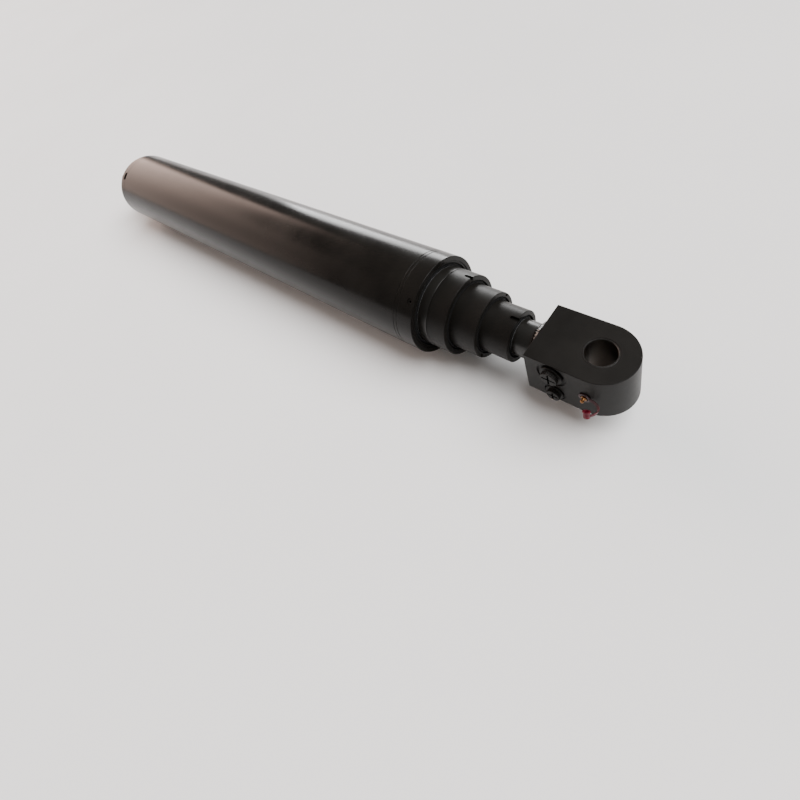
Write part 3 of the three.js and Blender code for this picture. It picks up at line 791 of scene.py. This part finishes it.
def build_block():
    lo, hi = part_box("eye_block")
    body = eye("eye_block_shown", PIN_X, lo.x, hi.y, hi.z)
    bush_r = high("eye_bush").y
    cut(body, bar((PIN_X, 0, lo.z - MM), (PIN_X, 0, hi.z + MM), bush_r + 0.3 * MM, MEDIUM * 2))
    for name, size in PORTS.items():
        x, z = port_centre(name)
        floor = lo.y + SPOTFACE_DEPTH
        cut(body, bar((x, lo.y - 2 * MM, z), (x, floor, z), size["spotface"] * MM, MEDIUM))
    break_edges(body, 0.9 * MM, 3)
    for name, size in PORTS.items():
        x, z = port_centre(name)
        floor = lo.y + SPOTFACE_DEPTH
        cut(body, bar((x, floor - MM, z), (x, floor + 22 * MM, z), size["thread"] * MM, MEDIUM))
        cut(body, bar((x, floor, z), (x, 0, z), size["drill"] * MM))
    cut(body,
        bar((lo.x - MM, 0, 0), (lo.x + 35 * MM, 0, 0), PLUNGER_R + 0.3 * MM, MEDIUM * 2),
        bar((lo.x, 0, 0), (lo.x + 59 * MM, 0, 0), 15.3 * MM),
        bar((PIN_X, lo.y - MM, 0), (PIN_X, lo.y + 10 * MM, 0), 4.5 * MM),
        bar((PIN_X, lo.y, 0), (PIN_X, -bush_r + MM, 0), 2 * MM, 24))
    piece(body, "plunger", "satin_paint", SATIN_PAINT, "eye_block")
    bush("eye_bush", "plunger", 1.2 * MM)


def build_plug(name, size):
    x, z = port_centre(name)
    lo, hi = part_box(name + "_plug")
    place = out_of_side(x, 0, z)
    boss = size["boss"] * MM
    flange = size["flange"] * MM
    thread = (size["thread"] - 0.3) * MM
    foot = -hi.y
    top = -lo.y
    flange_top = top - size["boss_length"] * MM
    flange_foot = flange_top - 3 * MM
    ribs = size["ribs"]

    def knurl(at, radius, angle):
        if at < flange_top + 0.3 * MM or radius < 0.8 * boss or radius > 1.05 * boss:
            return radius
        return radius - 0.6 * MM * (0.5 + 0.5 * math.cos(angle * ribs)) ** 0.6

    plug = turned(name + "_plug_shown", rounded([
        (foot, 0, 0),
        (foot, thread, 0.8 * MM),
        (flange_foot, thread, 0),
        (flange_foot, flange, 0.5 * MM),
        (flange_top, flange, 1 * MM),
        (flange_top, boss, 0.6 * MM),
        (top, boss, 1.0 * MM),
        (top, 0, 0),
    ], 0, closed=False), 6 * ribs, place, knurl)
    reach = 2 * boss - 5 * MM
    deep = 5 * MM
    middle = top - deep / 2 + 0.5 * MM
    wide = size["cross"] * MM
    cut(plug, box_piece("tool", (deep + MM, reach, wide), (middle, 0, 0), place),
        box_piece("tool", (deep + MM, wide, reach), (middle, 0, 0), place))
    piece(plug, "plunger", "satin_paint", SATIN_PAINT, name + "_plug")


build_rear_eye()
build_block()
for port_name, port_size in PORTS.items():
    build_plug(port_name, port_size)


# ======== grease nipples and their caps ========

def build_nipple(node, body, x, y):
    place = out_of_side(x, y, 0)
    shown = turned(node + "_shown", rounded([
        (-9 * MM, 0, 0),
        (-9 * MM, 4.2 * MM, 0.3 * MM),
        (1 * MM, 4.2 * MM, 0),
        (4.2 * MM, 3.4 * MM, 0.4 * MM),
        (7.4 * MM, 2.5 * MM, 0.6 * MM),
        (8.4 * MM, 3.1 * MM, 0.3 * MM),
        (9.6 * MM, 3.3 * MM, 0.5 * MM),
        (11.2 * MM, 2.6 * MM, 0.8 * MM),
        (12 * MM, 1.0 * MM, 0.3 * MM),
        (12 * MM, 0.0, 0),
    ], 0, closed=False), SMALL, place)
    hexagon = turned("hexagon", [(0.3 * MM, 0), (0.3 * MM, 6 * MM), (4 * MM, 6 * MM), (4 * MM, 0)], 6, place)
    break_edges(hexagon, 0.4 * MM)
    join(shown, hexagon)
    return piece(shown, body, "brass", BRASS, node)


def spline_points(points, steps):
    """A smooth line through the points."""
    out = []
    count = len(points)
    for i in range(count - 1):
        p0 = points[max(i - 1, 0)]
        p1 = points[i]
        p2 = points[i + 1]
        p3 = points[min(i + 2, count - 1)]
        for k in range(steps):
            t = k / steps
            out.append(0.5 * ((2 * p1) + (p2 - p0) * t + (2 * p0 - 5 * p1 + 4 * p2 - p3) * t * t
                              + (3 * p1 - p0 - 3 * p2 + p3) * t ** 3))
    out.append(points[-1])
    return out


def strap(name, points, width, thickness, flat):
    """A flat strap along a line; flat is the direction its width keeps to."""
    line = spline_points([Vector(p) * MM for p in points], 8)
    verts = []
    faces = []
    flat = Vector(flat).normalized()
    for i, here in enumerate(line):
        ahead = line[min(i + 1, len(line) - 1)] - line[max(i - 1, 0)]
        ahead.normalize()
        wide = (flat - ahead * flat.dot(ahead)).normalized()
        thick = ahead.cross(wide)
        for a, b in ((-1, -0.6), (-0.8, -1), (0.8, -1), (1, -0.6), (1, 0.6), (0.8, 1), (-0.8, 1), (-1, 0.6)):
            verts.append(here + wide * (a * width / 2) + thick * (b * thickness / 2))
    for i in range(len(line) - 1):
        for k in range(8):
            n = (k + 1) % 8
            faces.append((8 * i + k, 8 * i + n, 8 * i + 8 + n, 8 * i + 8 + k))
    faces.append(tuple(range(8)))
    faces.append(tuple(range(8 * len(line) - 1, 8 * len(line) - 9, -1)))
    return new_object(name, verts, faces)


def cup(name, place, depth):
    def grip(at, radius, angle):
        if at < 3.2 * MM or at > depth - 2 * MM or radius < 4.6 * MM:
            return radius
        return radius - 0.25 * MM * (0.5 + 0.5 * math.cos(angle * 12))

    outer = 5.5 * MM
    return turned(name, rounded([
        (0, 4 * MM, 0.2 * MM),
        (0, outer + MM, 0.5 * MM),
        (2.2 * MM, outer + MM, 0.7 * MM),
        (3 * MM, outer, 0.4 * MM),
        (depth, outer, 2.2 * MM),
        (depth, 2 * MM, 0.5 * MM),
        (depth, 0.01 * MM, 0),
        (depth - 1.5 * MM, 0.01 * MM, 0),
        (depth - 1.5 * MM, 4 * MM, 0.5 * MM),
    ], 0), 48, place, grip)


def cap_ring(name, place):
    return turned(name, rounded([
        (0.3 * MM, 6.5 * MM, 0.4 * MM),
        (0.3 * MM, 9.5 * MM, 0.6 * MM),
        (3 * MM, 9.5 * MM, 1.0 * MM),
        (3 * MM, 6.5 * MM, 0.8 * MM),
    ], 0), 56, place)


def build_caps():
    side = SIDE_Y / MM
    pin = PIN_X / MM
    build_nipple("eye_grease_nipple", "plunger", PIN_X, SIDE_Y)
    ring = cap_ring("eye_nipple_cap_shown", out_of_side(PIN_X, SIDE_Y, 0))
    band = strap("strap", [
        (pin + 7.6, side - 1.7, 1),
        (pin + 16, side - 2.4, 0),
        (pin + 23, side - 4, -4),
        (pin + 25.5, side - 9, -9),
        (pin + 22.5, side - 15, -13),
        (pin + 17, side - 20, -14.5),
    ], 5 * MM, 1.8 * MM, (0.3, 0.5, 1))
    mouth = Vector((PIN_X + 11 * MM, SIDE_Y - 17.5 * MM, -8.5 * MM))
    hang = Vector((1, 0, 0)).rotation_difference(Vector((0.25, -0.5, -0.83))).to_matrix().to_4x4()
    hanging = cup("cup", Matrix.Translation(mouth) @ hang, 12 * MM)
    join(ring, band, hanging)
    worn = oversprayed_red("eye_cap_red", SIDE_Y - 2 * MM, SIDE_Y - 14 * MM)
    piece(ring, "plunger", "red_plastic", worn, "eye_nipple_cap", angle=50)

    rear = REAR_SIDE_Y / MM
    build_nipple("rear_grease_nipple", "barrel", 0, REAR_SIDE_Y)
    ring = cap_ring("rear_nipple_cap_shown", out_of_side(0, REAR_SIDE_Y, 0))
    band = strap("strap", [
        (-7.6, rear - 1.7, 0),
        (-12, rear - 5, 0),
        (-12.5, rear - 14, 0),
        (-9, rear - 22, 0),
        (-2, rear - 23, 0),
    ], 5 * MM, 1.8 * MM, (0, 0, 1))
    fitted = cup("cup", out_of_side(0, REAR_SIDE_Y - 4.5 * MM, 0), 19 * MM)
    join(ring, band, fitted)
    worn = oversprayed_red("rear_cap_red", REAR_SIDE_Y - 8 * MM, REAR_SIDE_Y - 34 * MM)
    piece(ring, "barrel", "red_plastic", worn, "rear_nipple_cap", angle=50)


build_caps()


# ======== CAD pieces that stay ========

FINISH = {
    "steel": STEEL, "chrome": CHROME, "rubber": RUBBER, "urethane": URETHANE, "phenolic": PHENOLIC,
    "bronze": BORE_SHADED_BRONZE, "brass": BRASS, "red_plastic": RED_PLASTIC, "satin_paint": SATIN_PAINT,
    "gloss_paint": GLOSS_PAINT,
}
SLOT_OF = {entry["node"]: entry["material_slot"] for entry in frame["record"]["subparts"]}
for node_name, node_object in frame["nodes"].items():
    finish = FINISH[SLOT_OF[node_name]]
    if node_object.material_slots:
        for material_slot in node_object.material_slots:
            material_slot.material = finish
    else:
        node_object.data.materials.append(finish)


# ======== floor, light and camera ========

FRAME = 800     # the picture's width and height
SENSOR = 36     # mm
DIM_STUDIO = (0.22, 0.217, 0.211, 1)
WARM_WALL = (2.9, 2.2, 1.9, 1)
PALE_BACKDROP = (1.75, 1.73, 1.7, 1)


def build_stage():
    floor_z = low("barrel_tube").z - 0.002
    size = 30
    mesh = bpy.data.meshes.new("floor")
    mesh.from_pydata([(-size, -size, floor_z), (size, -size, floor_z), (size, size, floor_z),
                      (-size, size, floor_z)], [], [(0, 1, 2, 3)])
    floor = bpy.data.objects.new("floor", mesh)
    bpy.context.scene.collection.objects.link(floor)
    m = Nodes("pale_floor", 0.7)
    m.shader.inputs["Specular IOR Level"].default_value = 0.2
    cloud = m.noise(1.3, 3)
    m.colour(m.blend(m.spread(cloud, 0, 1), (0.85, 0.85, 0.85), (0.88, 0.88, 0.88)))
    mesh.materials.append(m.material)
    return floor


def build_world():
    """A dim, even studio with a warm wall beyond the rear eye, for the paint to reflect."""
    world = bpy.data.worlds.new("studio")
    bpy.context.scene.world = world
    world.use_nodes = True
    tree = world.node_tree
    background = tree.nodes["Background"]
    split = tree.nodes.new("ShaderNodeSeparateXYZ")
    tree.links.new(tree.nodes.new("ShaderNodeTexCoord").outputs["Generated"], split.inputs[0])

    def fade(axis, start, end, low_value=0.0, high_value=1.0):
        node = tree.nodes.new("ShaderNodeMapRange")
        node.interpolation_type = "SMOOTHSTEP"
        node.inputs["From Min"].default_value = start
        node.inputs["From Max"].default_value = end
        node.inputs["To Min"].default_value = low_value
        node.inputs["To Max"].default_value = high_value
        tree.links.new(split.outputs[axis], node.inputs["Value"])
        return node.outputs["Result"]

    def times(a, b):
        node = tree.nodes.new("ShaderNodeMath")
        node.operation = "MULTIPLY"
        tree.links.new(a, node.inputs[0])
        tree.links.new(b, node.inputs[1])
        return node.outputs[0]

    wall = times(fade("X", -0.68, -0.78, 0, 1), fade("Z", 0.0, 0.03))
    wall = times(wall, fade("Z", 0.64, 0.5))
    wall = times(wall, fade("Y", 0.43, 0.33))
    wall = times(wall, fade("Y", -0.5, 0.1, 1.0, 3.0))
    mix = tree.nodes.new("ShaderNodeMix")
    mix.data_type = "RGBA"
    mix.clamp_factor = False
    tree.links.new(wall, mix.inputs["Factor"])
    mix.inputs[6].default_value = DIM_STUDIO
    mix.inputs[7].default_value = WARM_WALL

    # Seen directly, the studio's walls are as pale as its floor.
    pale = tree.nodes.new("ShaderNodeMix")
    pale.data_type = "RGBA"
    tree.links.new(tree.nodes.new("ShaderNodeLightPath").outputs["Is Camera Ray"], pale.inputs["Factor"])
    tree.links.new(mix.outputs[2], pale.inputs[6])
    pale.inputs[7].default_value = PALE_BACKDROP
    tree.links.new(pale.outputs[2], background.inputs["Color"])


def area_light(name, place, target, width, height, radiance):
    light = bpy.data.lights.new(name, "AREA")
    light.shape = "RECTANGLE"
    light.size = width
    light.size_y = height
    light.energy = radiance * math.pi * width * height
    obj = bpy.data.objects.new(name, light)
    bpy.context.scene.collection.objects.link(obj)
    obj.location = place
    obj.rotation_euler = (Vector(target) - Vector(place)).to_track_quat("-Z", "Y").to_euler()
    return obj


def build_lights(floor):
    sun = bpy.data.lights.new("overhead", "SUN")
    sun.energy = 6
    sun.angle = math.radians(56)
    high_up = bpy.data.objects.new("overhead", sun)
    bpy.context.scene.collection.objects.link(high_up)
    high_up.rotation_euler = Vector((-0.4, -0.32, -0.86)).to_track_quat("-Z", "Y").to_euler()
    panel = area_light("bright_side", (-1.0, 3.2, 0.5), (1.2, 0, 0.2), 2.6, 1.2, 16)
    panel.visible_camera = False

    # The panel stands close to the floor, so it lights the cylinder only.
    not_lit = bpy.data.collections.new("not_lit_by_panel")
    not_lit.objects.link(floor)
    panel.light_linking.receiver_collection = not_lit
    not_lit.collection_objects[0].light_linking.link_state = "EXCLUDE"


def build_camera():
    """Stands off the rod eye's port side, above it, and looks down the length of the barrel."""
    place = Vector((1.9062, -0.4674, 0.7828))
    yaw, pitch, roll = (math.radians(a) for a in (-55.63, 43.85, -22.94))
    focal = 531.6 / FRAME
    rise = -110 / FRAME
    view = Vector((math.sin(yaw) * math.cos(pitch), math.cos(yaw) * math.cos(pitch), -math.sin(pitch)))
    right = Vector((math.cos(yaw), -math.sin(yaw), 0))
    up = right.cross(view)
    rolled_right = math.cos(roll) * right + math.sin(roll) * up
    rolled_up = math.cos(roll) * up - math.sin(roll) * right
    camera = bpy.data.cameras.new("camera")
    camera.sensor_width = SENSOR
    camera.lens = focal * SENSOR
    camera.shift_y = rise
    camera.clip_start = 0.01
    obj = bpy.data.objects.new("camera", camera)
    bpy.context.scene.collection.objects.link(obj)
    turn = Matrix((rolled_right, rolled_up, -view)).transposed().to_4x4()
    obj.matrix_world = Matrix.Translation(place) @ turn
    bpy.context.scene.camera = obj


build_world()
build_lights(build_stage())
build_camera()
